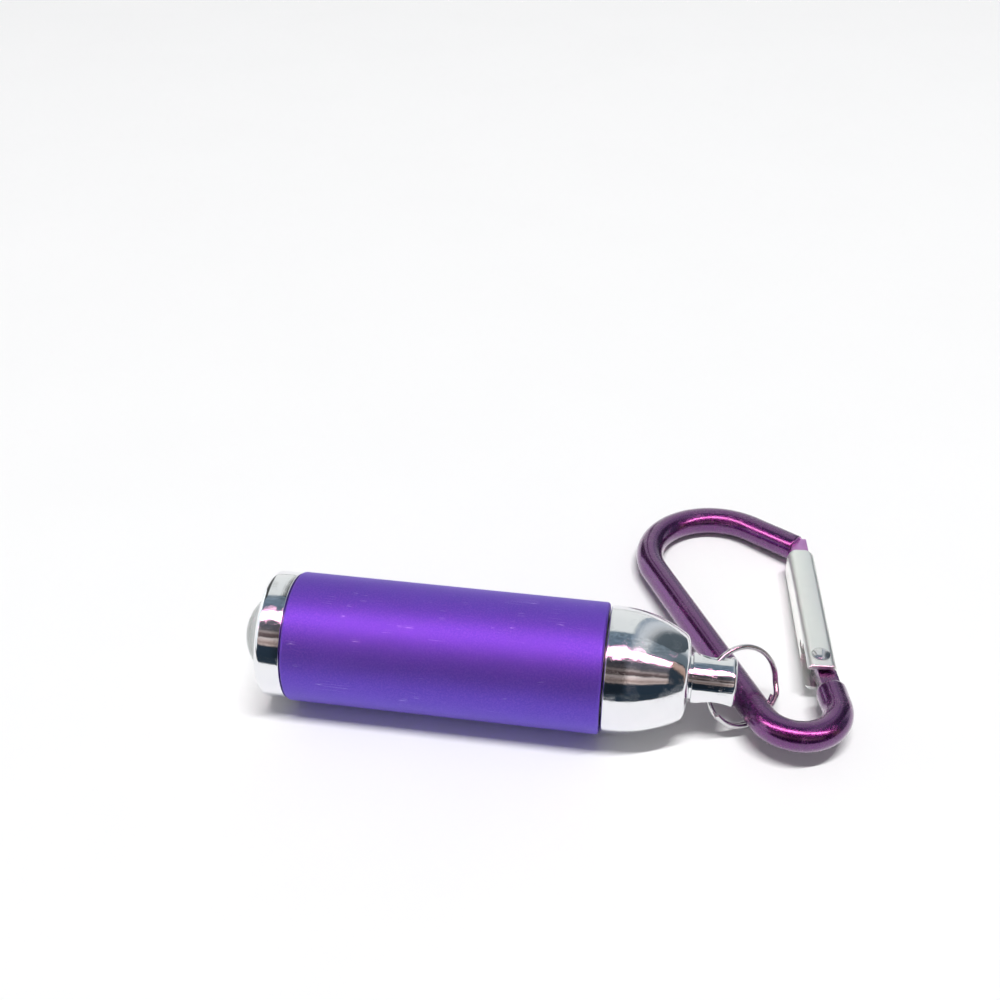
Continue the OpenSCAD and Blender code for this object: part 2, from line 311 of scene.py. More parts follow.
# ---------------------------------------------------------------- finishes
class Finish:
    """A Principled material built node by node. Its coordinates are millimetres of the row frame."""

    def __init__(self, name, **values):
        self.mat = bpy.data.materials.new(name)
        self.mat.use_nodes = True
        self.tree = self.mat.node_tree
        self.tree.nodes.clear()
        self.shader = self.node("ShaderNodeBsdfPrincipled")
        out = self.node("ShaderNodeOutputMaterial")
        self.tree.links.new(self.shader.outputs[0], out.inputs["Surface"])
        self.place = self.node("ShaderNodeTexCoord").outputs["Object"]
        for socket, value in values.items():
            self.shader.inputs[socket.replace("_", " ")].default_value = value

    def node(self, kind):
        return self.tree.nodes.new(kind)

    def feed(self, socket, value):
        if isinstance(value, bpy.types.NodeSocket):
            self.tree.links.new(value, socket)
        else:
            socket.default_value = value

    def scaled(self, factors, turn=(0, 0, 0)):
        node = self.node("ShaderNodeMapping")
        node.inputs["Scale"].default_value = factors
        node.inputs["Rotation"].default_value = [math.radians(d) for d in turn]
        self.tree.links.new(self.place, node.inputs["Vector"])
        return node.outputs[0]

    def noise(self, size, detail, rough=0.55, turn=(0, 0, 0)):
        """Noise whose features are size mm across: one number, or one for each axis."""
        sizes = size if isinstance(size, tuple) else (size,) * 3
        node = self.node("ShaderNodeTexNoise")
        node.inputs["Scale"].default_value = 1
        node.inputs["Detail"].default_value = detail
        node.inputs["Roughness"].default_value = rough
        self.tree.links.new(self.scaled([1 / (MM * s) for s in sizes], turn), node.inputs["Vector"])
        return node.outputs["Fac"]

    def cells(self, size, feature="F1"):
        node = self.node("ShaderNodeTexVoronoi")
        node.feature = feature
        node.inputs["Scale"].default_value = 1
        self.tree.links.new(self.scaled([1 / (MM * size)] * 3), node.inputs["Vector"])
        return node.outputs["Distance"]

    def ramp(self, value, *stops):
        """Maps a number through (position, grey or colour) stops."""
        node = self.node("ShaderNodeValToRGB")
        ramp = node.color_ramp
        while len(ramp.elements) < len(stops):
            ramp.elements.new(0.5)
        for element, (position, level) in zip(ramp.elements, stops):
            element.position = position
            element.color = (*level, 1) if isinstance(level, tuple) else (level, level, level, 1)
        self.feed(node.inputs["Fac"], value)
        return node.outputs["Color"]

    def maths(self, how, a, b):
        node = self.node("ShaderNodeMath")
        node.operation = how
        self.feed(node.inputs[0], a)
        self.feed(node.inputs[1], b)
        return node.outputs[0]

    def sum(self, a, b):
        return self.maths("ADD", a, b)

    def times(self, a, b):
        return self.maths("MULTIPLY", a, b)

    def above(self, a, b):
        return self.maths("GREATER_THAN", a, b)

    def below(self, a, b):
        return self.maths("LESS_THAN", a, b)

    def split(self):
        """The place's x, y and z, in metres."""
        node = self.node("ShaderNodeSeparateXYZ")
        self.feed(node.inputs[0], self.place)
        return node.outputs[:]

    def blend(self, share, a, b):
        node = self.node("ShaderNodeMix")
        node.data_type = "RGBA"
        self.feed(node.inputs[0], share)
        for socket, colour in ((node.inputs[6], a), (node.inputs[7], b)):
            self.feed(socket, colour if isinstance(colour, bpy.types.NodeSocket) else (*colour, 1))
        return node.outputs[2]

    def scratches(self, turns, width, length, fine, few=0.54, spread=3.5):
        """Thin straight scratches in several directions, as a number from 0 to 1."""
        total = 0.0
        for turn in turns:
            lines = self.ramp(self.noise((length, fine, fine), 1, 0.4, turn),
                              (0.5 - width, 0.0), (0.5, 1.0), (0.5 + width, 0.0))
            patch = self.ramp(self.noise(spread, 2, 0.5, turn), (few, 0.0), (few + 0.06, 1.0))
            total = self.sum(total, self.times(lines, patch))
        return total

    def colour(self, value):
        self.feed(self.shader.inputs["Base Color"], value)

    def roughness(self, value):
        self.feed(self.shader.inputs["Roughness"], value)

    def glow(self, colour, power=1.0):
        """Makes the material a light instead."""
        node = self.node("ShaderNodeEmission")
        self.feed(node.inputs["Color"], colour)
        self.feed(node.inputs["Strength"], power)
        self.feed(self.tree.nodes["Material Output"].inputs["Surface"], node.outputs[0])

    def bump(self, height, depth):
        """Relief whose full height is depth mm."""
        node = self.node("ShaderNodeBump")
        node.inputs["Distance"].default_value = depth * MM
        self.feed(node.inputs["Height"], height)
        self.tree.links.new(node.outputs[0], self.shader.inputs["Normal"])


def violet_anodised():
    f = Finish("violet_anodised", Metallic=0.88, Coat_Weight=1.0, Coat_Roughness=0.8)
    cloud = f.noise(6.0, 4)
    grain = f.noise(0.09, 3, 0.65)
    lathe_marks = f.noise((0.12, 60, 60), 2, 0.6)
    turns = [(20, 0, 25), (50, 35, -50), (0, 0, 80), (70, 20, -15)]
    marks = f.scratches(turns, width=0.009, length=12, fine=0.6, few=0.66, spread=4.5)
    specks = f.ramp(f.cells(2.4), (0.0, 1.0), (0.028, 0.0))
    tone = f.blend(cloud, (0.105, 0.047, 0.52), (0.125, 0.055, 0.58))
    speckle = f.ramp(f.noise(0.22, 3, 0.6), (0.42, 0.0), (0.66, 1.0))
    tone = f.blend(f.times(speckle, 0.22), tone, (0.30, 0.13, 0.72))
    tone = f.blend(f.times(marks, 0.8), tone, (0.62, 0.50, 0.95))
    tone = f.blend(f.times(specks, 0.6), tone, (0.75, 0.70, 0.92))
    f.colour(tone)
    f.roughness(f.sum(f.ramp(grain, (0.3, 0.50), (0.7, 0.60)), f.times(marks, 0.12)))
    relief = f.sum(f.times(grain, 0.5), f.times(lathe_marks, 0.5))
    f.bump(f.sum(relief, f.times(marks, -0.8)), 0.012)
    return f.mat


def plum_anodised():
    f = Finish("plum_anodised", Metallic=1.0, Coat_Weight=1.0, Coat_Roughness=0.11, Coat_IOR=1.6)
    cloud = f.noise(4.0, 3)
    grain = f.noise(0.16, 3, 0.6)
    marks = f.scratches([(0, 0, 10), (0, 0, 70)], 0.02, 3, 0.12)
    tone = f.blend(cloud, (0.105, 0.014, 0.13), (0.155, 0.03, 0.18))
    tone = f.blend(f.times(marks, 0.3), tone, (0.65, 0.45, 0.68))
    f.colour(tone)
    f.roughness(f.sum(f.ramp(grain, (0.3, 0.21), (0.7, 0.31)), f.times(marks, 0.15)))
    f.bump(f.sum(grain, f.times(marks, -0.6)), 0.013)
    return f.mat


def chrome():
    f = Finish("chrome", Metallic=1.0)
    smear = f.noise(3.0, 4, 0.6)
    grain = f.noise(0.2, 2)
    polish = f.noise((0.05, 40, 40), 2, 0.6)
    marks = f.scratches([(0, 20, 15), (0, 0, 70)], 0.012, 5, 0.1)
    f.colour(f.blend(smear, (0.80, 0.81, 0.84), (0.88, 0.885, 0.90)))
    f.roughness(f.sum(f.ramp(smear, (0.35, 0.045), (0.7, 0.10)), f.times(marks, 0.12)))
    relief = f.sum(f.times(grain, 0.6), f.times(polish, 0.4))
    relief = f.sum(relief, f.times(f.noise(0.9, 2), 2.4))
    f.bump(f.sum(relief, f.times(marks, -0.8)), 0.0035)
    return f.mat


def bare_metal(name, dark, light, rough_lo, rough_hi, depth=0.006, lay=(0.5, 0.5, 0.5)):
    f = Finish(name, Metallic=1.0)
    stain = f.noise(1.8, 4, 0.6)
    grain = f.noise(lay, 3, 0.6)
    marks = f.scratches([(0, 0, 30), (0, 50, -20)], 0.02, 4, 0.08)
    f.colour(f.blend(stain, dark, light))
    f.roughness(f.sum(f.ramp(grain, (0.3, rough_lo), (0.7, rough_hi)), f.times(marks, 0.12)))
    f.bump(f.sum(grain, f.times(marks, -0.6)), depth)
    return f.mat


def moulded(name, dark, light, rough_lo, rough_hi):
    f = Finish(name)
    cloud = f.noise(1.5, 3)
    grain = f.noise(0.12, 3, 0.6)
    dust = f.ramp(f.noise(0.07, 2), (0.64, 0.0), (0.70, 1.0))
    tone = f.blend(cloud, dark, light)
    f.colour(f.blend(f.times(dust, 0.25), tone, (0.5, 0.5, 0.5)))
    f.roughness(f.ramp(grain, (0.3, rough_lo), (0.7, rough_hi)))
    f.bump(grain, 0.015)
    return f.mat


def lens_finish():
    f = Finish("lens_acrylic", IOR=1.49)
    haze = f.noise(2.5, 3)
    f.colour(f.blend(haze, (0.90, 0.94, 0.93), (0.96, 0.99, 0.98)))
    marks = f.scratches([(0, 90, 10), (0, 90, 60)], 0.01, 3, 0.08)
    f.roughness(f.sum(f.ramp(haze, (0.3, 0.0), (0.8, 0.025)), f.times(marks, 0.1)))
    # Away from the axis the lens turns partly milky white, so the dome's rim looks pale: painted light
    # that stands in for the bright surroundings seen through a clear lens.
    off = f.node("ShaderNodeVectorMath")
    off.operation = "DISTANCE"
    f.feed(off.inputs[0], f.scaled((0, 1, 1)))
    off.inputs[1].default_value = (0, AXIS.y, AXIS.z)
    f.feed(f.shader.inputs["Transmission Weight"],
           f.ramp(f.times(off.outputs["Value"], 0.1 / MM), (0.30, 1.0), (0.50, 0.55), (0.7, 0.42)))
    f.bump(f.noise(1.2, 2), 0.001)
    return f.mat


def phosphor():
    f = Finish("led_phosphor")
    grain = f.noise(0.05, 3, 0.7)
    cloud = f.noise(0.8, 2)
    f.colour(f.blend(f.sum(f.times(grain, 0.6), f.times(cloud, 0.4)),
                     (0.62, 0.62, 0.10), (0.86, 0.84, 0.30)))
    f.roughness(f.ramp(grain, (0.3, 0.35), (0.7, 0.6)))
    f.bump(grain, 0.01)
    return f.mat


def circuit():
    f = Finish("circuit_green", Coat_Weight=0.5, Coat_Roughness=0.15)
    tracks = f.ramp(f.cells(1.6, "DISTANCE_TO_EDGE"), (0.05, 1.0), (0.09, 0.0))
    weave = f.noise((0.1, 0.1, 0.5), 2)
    tone = f.blend(f.noise(1.0, 3), (0.015, 0.12, 0.05), (0.03, 0.18, 0.08))
    f.colour(f.blend(f.times(tracks, 0.5), tone, (0.10, 0.36, 0.16)))
    f.roughness(f.ramp(weave, (0.3, 0.3), (0.7, 0.5)))
    f.bump(f.sum(tracks, f.times(weave, 0.3)), 0.02)
    return f.mat


FINISHES = {
    "violet_anodised": violet_anodised(),
    "plum_anodised": plum_anodised(),
    "chrome": chrome(),
    "lens": lens_finish(),
    "rubber": moulded("rubber", (0.012, 0.012, 0.013), (0.03, 0.03, 0.03), 0.45, 0.7),
    "black_plastic": moulded("black_plastic", (0.01, 0.01, 0.012), (0.025, 0.025, 0.028), 0.35, 0.5),
    "white_plastic": moulded("white_plastic", (0.72, 0.72, 0.70), (0.82, 0.82, 0.80), 0.35, 0.5),
    "core_alloy": bare_metal("core_alloy", (0.60, 0.61, 0.63), (0.72, 0.73, 0.74), 0.22, 0.36,
                             lay=(0.08, 20, 20)),
    "steel": bare_metal("steel", (0.62, 0.62, 0.63), (0.76, 0.76, 0.77), 0.12, 0.24, 0.004,
                        (0.2, 0.2, 0.2)),
    "brass": bare_metal("brass", (0.62, 0.42, 0.16), (0.78, 0.58, 0.26), 0.2, 0.35),
    "cell_steel": bare_metal("cell_steel", (0.60, 0.60, 0.61), (0.70, 0.70, 0.70), 0.25, 0.4),
    "gate_alloy": bare_metal("gate_alloy", (0.90, 0.95, 0.90), (0.95, 0.99, 0.95), 0.32, 0.40, 0.0012,
                             (0.25, 4, 0.25)),
    "led_yellow": phosphor(),
    "circuit_green": circuit(),
}


CUT_FACE = bare_metal("plum_cut_face", (0.62, 0.30, 0.66), (0.78, 0.46, 0.82), 0.34, 0.5, 0.03)


# ---------------------------------------------------------------- flashlight body
def barrel():
    outline = rounded([
        (-HALF, FRONT_BORE_R, 0.12), (-HALF, BARREL_R, 0.4), (HALF, BARREL_R, 0.4),
        (HALF, REAR_BORE_R, 0.12), (BORE_STEP, REAR_BORE_R, 0), (BORE_STEP, FRONT_BORE_R, 0)])
    return lathe("barrel_sleeve", outline)


def bezel():
    outline = rounded([
        (BEZEL_FRONT, 6.98, 0.08), (BEZEL_FRONT, BEZEL_R, 0.9), (BEZEL_REAR, BEZEL_R, 0.15),
        (BEZEL_REAR, BEZEL_BORE_R, 0), (BEZEL_REAR + 4, BEZEL_BORE_R, 0.1),
        (BEZEL_REAR + 4, BEZEL_SEAT_R, 0.1), (FLANGE_FRONT - 0.05, BEZEL_SEAT_R, 0),
        (FLANGE_FRONT - 0.05, BEZEL_LIP_R, 0.03),
        (BEZEL_FRONT + 0.38, BEZEL_LIP_R, 0.06)])
    return lathe("chrome_bezel", outline)


def lens():
    ball = (DOME_R ** 2 + DOME_H ** 2) / (2 * DOME_H)
    apex = FLANGE_FRONT - DOME_H
    widest = math.asin(DOME_R / ball)
    dome = [(apex + ball * (1 - math.cos(widest * k / 40)), ball * math.sin(widest * k / 40))
            for k in range(41)]
    flange = BEZEL_SEAT_R - 0.05
    outline = dome + [(FLANGE_FRONT, flange), (FLANGE_REAR, flange), (FLANGE_REAR, 0)]
    return lathe("convex_lens", outline, closed=False)


def lens_seal():
    front, rear = FLANGE_FRONT - 0.75, FLANGE_FRONT - 0.04
    inner, outer = DOME_R + 0.10, DOME_R + 0.42
    outline = rounded([
        (front, inner, 0.12), (front, outer, 0.12), (rear, outer, 0.05), (rear, inner, 0.05)])
    return lathe("lens_seal_ring", outline)


def core():
    thread_end = HALF + 4.8
    outline = [(-11.5, CORE_BORE_R + 0.2), (-11.3, CORE_BORE_R), (thread_end - 0.3, CORE_BORE_R),
               (thread_end, CORE_BORE_R + 0.25)]
    outline.append((thread_end - 0.25, THREAD_R - 0.3))
    at = thread_end - 0.6
    while at > HALF + 1.3:
        outline += [(at, THREAD_R - 0.42), (at - 0.12, THREAD_R - 0.42), (at - 0.42, THREAD_R),
                    (at - 0.52, THREAD_R)]
        at -= THREAD_PITCH
    outline += [(HALF + 0.9, THREAD_R - 0.45), (HALF + 0.15, THREAD_R - 0.45),
                (HALF + 0.05, THREAD_R - 0.35), (HALF + 0.05, CORE_R - 0.12), (HALF - 0.07, CORE_R)]
    for groove in GROOVES:
        outline += rounded([(groove + 0.45, CORE_R, 0.05), (groove + 0.45, GROOVE_R, 0.05),
                            (groove - 0.45, GROOVE_R, 0.05), (groove - 0.45, CORE_R, 0.05)], 3)
    front, rear, bottom = STOP_GROOVE
    outline += [(rear, CORE_R), (rear, bottom), (front, bottom), (front, CORE_R), (-11.35, CORE_R),
                (-11.5, CORE_R - 0.15)]
    return lathe("core_tube_turned", outline, sharp=28)


def tail_cap():
    corner_s = CAP_LENGTH - CAP_CORNER
    corner_r = CAP_R - CAP_CURVE + math.sqrt(
        (CAP_CURVE - CAP_CORNER) ** 2 - (corner_s - CAP_CURVE_AT) ** 2)
    lean = math.asin((corner_s - CAP_CURVE_AT) / (CAP_CURVE - CAP_CORNER))
    outline = [(CAP_FRONT, THREAD_R + 0.25), (CAP_FRONT, CAP_R - 0.2)]
    outline += [(CAP_FRONT + 0.2 - 0.2 * math.cos(a), CAP_R - 0.2 + 0.2 * math.sin(a))
                for a in (math.pi / 2 * k / 6 for k in range(1, 7))]
    outline += [(CAP_FRONT + CAP_CURVE_AT + CAP_CURVE * math.sin(lean * k / 60),
                 CAP_R - CAP_CURVE + CAP_CURVE * math.cos(lean * k / 60)) for k in range(61)]
    outline += [(CAP_FRONT + corner_s + CAP_CORNER * math.sin(a), corner_r + CAP_CORNER * math.cos(a))
                for a in (lean + (math.pi / 2 - lean) * k / 16 for k in range(1, 17))]
    outline += [(CAP_END, CAP_HOLE_R), (SPRING_SEAT, CAP_HOLE_R), (SPRING_SEAT, CAP_BORE_R),
                (HALF + 5.4, CAP_BORE_R)]
    at = HALF + 5.2
    while at > CAP_FRONT + 1.1:
        outline += [(at, NUT_R), (at - 0.3, NUT_ROOT_R), (at - 0.42, NUT_ROOT_R), (at - 0.72, NUT_R)]
        at -= THREAD_PITCH
    outline += [(CAP_FRONT + 0.3, NUT_R)]
    return lathe("bullet_tail_cap", outline, sharp=28)


def tail_post():
    outline = rounded([
        (SPRING_SEAT + 0.03, 0, 0), (SPRING_SEAT + 0.03, POST_ROOT_R, 0.1),
        (CAP_END + 0.05, POST_ROOT_R, 0), (CAP_END + 0.05, POST_NECK_R, 0.06),
        (POST_FRONT, POST_NECK_R, 0), (POST_FRONT, POST_R, 0.14), (POST_END, POST_R, 0.55),
        (POST_END, 0, 0)])
    post = lathe("lanyard_post", outline, closed=False)
    mouth = POST_HOLE_MOUTH_R
    hole = rounded([(-6, mouth, 0), (-3.4, mouth, 0), (-2.35, POST_HOLE_R, 1.6), (2.35, POST_HOLE_R, 1.6),
                    (3.4, mouth, 0), (6, mouth, 0)], 12)
    hole = [(-6, 0)] + hole + [(6, 0)]
    aim = TORCH @ Matrix.Translation((POST_HOLE_AT, 0, 0))
    aim = aim @ turned((-POST_HOLE_TILT, 0, 0)) @ turned((0, 90, 0))
    return combine("DIFFERENCE", post, lathe("hole_tool", hole, closed=False, place=aim, turns=96))


# ---------------------------------------------------------------- light source
def led_collar():
    face = LED_FACE
    outline = rounded([
        (face - 0.04, COLLAR_R, 0.05), (face - 1.2, COLLAR_R, 0.2), (face - 1.2, 4.6, 0.1),
        (face - 1.9, 4.6, 0.15), (face - 1.9, 3.85, 0.1), (face - 0.7, 2.65, 0.1), (face - 0.04, 2.65, 0)])
    return lathe("led_collar_ring", outline)


def led_emitter():
    """A square chip with a smaller phosphor pad on its front, as one stepped solid."""
    chip, pad = 1.75, 1.40                  # half widths
    profile = ((-0.02, chip - 0.06), (-0.08, chip), (-0.66, chip), (-0.72, chip - 0.06),
               (-0.72, pad + 0.05), (-0.76, pad), (-0.88, pad), (-0.95, pad - 0.07))
    bm = bmesh.new()
    loft(bm, [[Vector((LED_FACE + x, y, z)) for y, z in rounded_box(half, half, 0.15)]
              for x, half in profile])
    return make("led_emitter_chip", bm, TORCH)


# ---------------------------------------------------------------- ring and carabiner
def way(degrees):
    """Unit vector at this angle in the plane that the ring or the carabiner lies in."""
    return Vector((math.cos(math.radians(degrees)), math.sin(math.radians(degrees)), 0))


def arc(centre, radius, start, sweep, steps):
    return [Vector((*centre, 0)) + way(start + sweep * k / steps) * radius for k in range(steps + 1)]


def line(start, heading, length, steps):
    return [start + way(heading) * (length * k / steps) for k in range(1, steps + 1)]


def split_ring():
    """A spiral: its first stretch lies on the turn below, then it steps down past its own end."""
    lift = RING_WIRE + 0.01
    upper_from, upper_to, step_down, under_to = 295, 418, 22, 778   # degrees round the ring
    steps = 320
    path = []
    for k in range(steps + 1):
        a = upper_from + (under_to - upper_from) * k / steps
        t = min(1, max(0, (a - upper_to) / step_down))
        z = lift * (1 - t * t * (3 - 2 * t))
        path.append(way(a) * RING_R + Vector((0, 0, z)))
    half, roundness = RING_WIRE / 2, 0.72   # 1 would be a round wire
    section = []
    for c, s in round_section(1, 28):
        section.append((half * math.copysign(abs(c) ** roundness, c),
                        half * math.copysign(abs(s) ** roundness, s)))
    bm = bmesh.new()
    loft(bm, sweep_rings(path, section, Vector((0, 0, 1)), edge=0.06, steps=3))
    return make("split_ring_coil", bm, RING)


def tongue(bm, start, heading, length, back, aside=0.0):
    """Flat milled tongue with a round end, from back behind the start to length past it."""
    width, thick = TONGUE
    edge = 0.12
    outline = [(-back, -width / 2)]
    outline += [(length + width / 2 * math.sin(a), -width / 2 * math.cos(a))
                for a in (math.pi * k / 20 for k in range(21))]
    outline += [(-back, width / 2)]
    place = Matrix.Translation(start) @ turned((0, 0, heading)) @ Matrix.Translation((0, aside, 0))
    rings = []
    for z, inset in ((-thick / 2, edge), (-thick / 2 + edge * 0.3, edge * 0.3), (-thick / 2 + edge, 0),
                     (thick / 2 - edge, 0), (thick / 2 - edge * 0.3, edge * 0.3), (thick / 2, edge)):
        k = 1 - inset / (width / 2)
        rings.append([place @ Vector((u - inset * 0.5, v * k, z)) for u, v in outline])
    loft(bm, rings)


def carabiner_bar():
    flat = Vector((0, 0, 1))
    nose_heading, heel_heading = NOSE_ANGLE - 90, HEEL_ANGLE + 90
    nose_start = Vector((*BIG_EYE_AT, 0)) + way(NOSE_ANGLE) * BIG_EYE_R
    heel_start = way(HEEL_ANGLE) * SMALL_EYE_R
    nose = line(nose_start, nose_heading, NOSE_LENGTH, 8)
    path = nose[::-1]
    path += arc(BIG_EYE_AT, BIG_EYE_R, NOSE_ANGLE, 180 + SPINE_LEAN - NOSE_ANGLE, 90)
    path += arc((0, 0), SMALL_EYE_R, 180 + SPINE_LEAN, 180 + HEEL_ANGLE - SPINE_LEAN, 70)
    path += line(heel_start, heel_heading, HEEL_LENGTH - HEEL_BARE, 3)
    bar = bmesh.new()
    bar_section = round_section(BAR_R - 0.006, 64)      # a hair inside the CAD's bar
    loft(bar, sweep_rings(path, bar_section, flat, edge=0.2, steps=6, end_edge=0.8))
    past_rivet = RIVET_AT[1] - heel_start.y - HEEL_LENGTH + 2.3
    heel = bmesh.new()
    tongue(heel, heel_start + way(heel_heading) * (HEEL_LENGTH - HEEL_BARE - 1), heel_heading,
           length=past_rivet + HEEL_BARE - 1, back=0.6)
    milled = bmesh.new()
    tongue(milled, nose[-1], -90 - GATE_LEAN, length=4.6, back=0.9, aside=0.35)
    face = [nose[-1] + way(nose_heading) * s for s in (-0.2, 0.015)]
    end_face = bmesh.new()
    loft(end_face, sweep_rings(face, round_section(BAR_R - 0.22, 48), flat))
    hook = combine("UNION", make("carabiner_hook", bar, CLIP), make("heel_tongue", heel, CLIP))
    return (combine("DIFFERENCE", hook, rivet_hole()),
            combine("UNION", make("nose_tongue", milled, CLIP), make("nose_end_face", end_face, CLIP)))


def gate_rivet():
    seat = GATE_H / 2 + 0.03                # where the head meets the gate
    dome = 2.3                              # radius of the head's curve
    outline = [(-seat - 0.37 + dome * (1 - math.cos(a)), dome * math.sin(a))
               for a in (math.radians(31 * k / 12) for k in range(13))]
    outline += [(-seat - 0.02, 1.25), (-seat, 1.2), (-seat, RIVET_R)]
    outline += [(-s, r) for s, r in outline[::-1]]
    return lathe("gate_rivet_pin", outline, closed=False, place=RIVET, turns=64)


def rivet_hole():
    """Tool for the hole that the rivet goes through, in the gate and in the heel's tongue."""
    outline = [(-GATE_H, 0), (-GATE_H, RIVET_HOLE_R), (GATE_H, RIVET_HOLE_R), (GATE_H, 0)]
    return lathe("rivet_hole_tool", outline, closed=False, place=RIVET, turns=64)


def gate_ring(y, inset=0.0, shrink_x=0.0, shrink_z=0.0):
    """The channel's outline at this height, inset by the wall for its hollow."""
    w = GATE_W / 2 - inset - shrink_x
    h = GATE_H / 2 - inset - shrink_z
    return [Vector((x, y, z)) for x, z in rounded_box(w, h, min(GATE_ROUND - inset * 0.8, w, h))]


def gate():
    tip_round, heel_round, low_edge = 1.15, 0.3, 0.22
    rings = []
    for k in range(13):
        depth = tip_round * (1 - math.cos(math.pi / 2 * k / 12))
        pinch = tip_round - math.sqrt(tip_round ** 2 - (tip_round - depth) ** 2)
        rings.append(gate_ring(GATE_TIP - depth, 0, pinch, low_edge * max(0.0, 1 - depth / low_edge)))
    rings.append(gate_ring(12.0))
    for k in range(8):
        depth = heel_round * (1 - math.sin(math.pi / 2 * k / 7))
        pinch = heel_round - math.sqrt(max(0, heel_round ** 2 - (heel_round - depth) ** 2))
        rings.append(gate_ring(-GATE_HEEL + depth, 0, pinch, pinch * 0.5))
    bm = bmesh.new()
    loft(bm, rings)
    hollow = bmesh.new()
    above, below = GATE_TIP + 1, -GATE_HEEL - 1
    loft(hollow, [gate_ring(y, GATE_WALL) for y in (above, below)])
    slot, slit = TONGUE[1] / 2 + 0.35, GATE_SLIT / 2
    cuts = (("slit_tool", (0, below, -slit), (GATE_W, above, slit)),
            ("tip_tool", (0, GATE_TIP - GATE_WINDOW, -slot), (GATE_W, above, slot)),
            ("heel_tool", (0, below, -slot), (GATE_W, GATE_WINDOW + below, slot)),
            ("back_tool", (-GATE_W, below, -slot), (0, 3, slot)),
            ("notch_tool", (-GATE_W, below, -slit), (0, 5, slit)))
    tools = [make("hollow_tool", hollow, GATE)] + [block(*cut, GATE) for cut in cuts]
    tools.insert(-1, rivet_hole())
    return combine("DIFFERENCE", make("gate_channel", bm, GATE), *tools)


def gate_spring():
    run = ((3.1, 0), (6, 0), (9, 0), (12, 0), (15.6, 0), (15.95, 0.12), (16.1, 0.5))
    path = [Vector((-0.7, y, z)) for y, z in run]
    bm = bmesh.new()
    loft(bm, sweep_rings(path, round_section(0.28, 16), Vector((1, 0, 0)), edge=0.06, steps=3))
    return make("gate_spring_wire", bm, GATE)


show(barrel(), "grip", "barrel", "violet_anodised")
show(bezel(), "grip", "bezel", "chrome")
show(lens(), "grip", "lens", "lens").visible_shadow = False
show(lens_seal(), "grip", "lens_seal", "rubber")
show(core(), "core", "core_tube", "core_alloy")
show(led_collar(), "core", "led_collar", "white_plastic")
show(led_emitter(), "core", "led_emitter", "led_yellow")
show(tail_cap(), "tail", "tail_cap", "chrome")
show(tail_post(), "tail", "tail_post", "chrome")
show(split_ring(), "ring", "split_ring", "steel")
hook, nose_tongue = carabiner_bar()
show(hook, "carabiner", "carabiner_bar", "plum_anodised")
show(nose_tongue, "carabiner", "carabiner_bar", "plum_anodised", CUT_FACE)
show(gate_rivet(), "carabiner", "gate_rivet", "steel")
show(gate(), "gate", "gate", "gate_alloy")
show(gate_spring(), "gate", "gate_spring", "steel")

# The CAD nodes that stay as they are take the finish of their own material slot.
slot_of = {part["node"]: part["material_slot"] for part in frame["record"]["subparts"]}
for name, obj in nodes.items():
    if not obj.hide_render:
        obj.data.materials.clear()
        obj.data.materials.append(FINISHES[slot_of[name]])


# ---------------------------------------------------------------- stage
FLOOR_REACH = 700
TABLE_EDGE = -66                            # y where the floor's reflection turns dark
TENT_R, TENT_REACH, TENT_STEPS = 420, 700, 96
TENT_AXIS = (-18, 8)                        # y and z of the arch's axis, near the flashlight's
WALL_REACH = 430
TENT_POWER = 15.5
# Noise in the tent's light: how strong, and its size along and across in mm
TENT_WOBBLE, WOBBLE_SIZE = 0.02, 1000 / 9
TENT_TEAR, TEAR_SIZE = 0.22, (1000 / 170, 1000 / 11, 1000 / 11)
PATCH_DEPTH, PATCH_SIZE = 3.6, (1000 / 110, 1000 / 26, 1000 / 26)
# Angles in degrees, from the front horizon over the top to the back
RAGGED = (50, 110)
OVERHEAD_FROM, BACK_FROM, FRONT_TO = 79, 112, 60

# What the polished pieces mirror, as (angle, colour)
TENT_LIGHT = [
    (0, (0.020, 0.034, 0.052)), (19, (0.022, 0.036, 0.056)), (21.5, (0.62, 0.50, 0.46)),
    (25, (0.30, 0.22, 0.20)), (29, (0.56, 0.45, 0.42)), (34, (0.70, 0.62, 0.60)),
    (35.5, (0.09, 0.07, 0.07)), (41, (0.14, 0.10, 0.10)), (44, (0.40, 0.34, 0.33)),
    (48, (0.12, 0.11, 0.12)), (53, (0.10, 0.10, 0.12)), (67, (0.16, 0.16, 0.19)),
    (69, (1.0, 0.9, 0.95)), (70.5, (15.5, 7.0, 10.0)), (78, (15.5, 7.0, 10.0)), (80, (0.9, 0.9, 0.95)),
    (81.5, (0.13, 0.18, 0.25)), (113, (0.17, 0.23, 0.28)), (117, (0.80, 0.83, 0.82)),
    (180, (0.90, 0.92, 0.90))]
# Right of the first of these, the overhead light goes by x instead: (x, colour)
OVERHEAD = [(95, (0.22, 0.28, 0.35)), (140, (0.60, 0.64, 0.68)), (200, (0.72, 0.75, 0.77)),
            (250, (0.20, 0.25, 0.29)), (700, (0.11, 0.15, 0.18))]
# How the light of the back half and of the low front changes from left to right: (x, share)
BACK_LIGHT = [(-700, 0.10), (-232, 0.10), (-216, 1.0), (-136, 1.0), (-124, 0.14), (-84, 0.14), (-78, 1.9),
              (-68, 1.9), (-62, 0.75), (-30, 1.0), (150, 1.0), (230, 0.5), (700, 0.4)]
FRONT_LIGHT = [(-700, 1.0), (-150, 1.0), (-90, 0.45), (75, 0.45), (105, 1.3), (150, 1.3), (200, 1.0),
               (700, 1.0)]
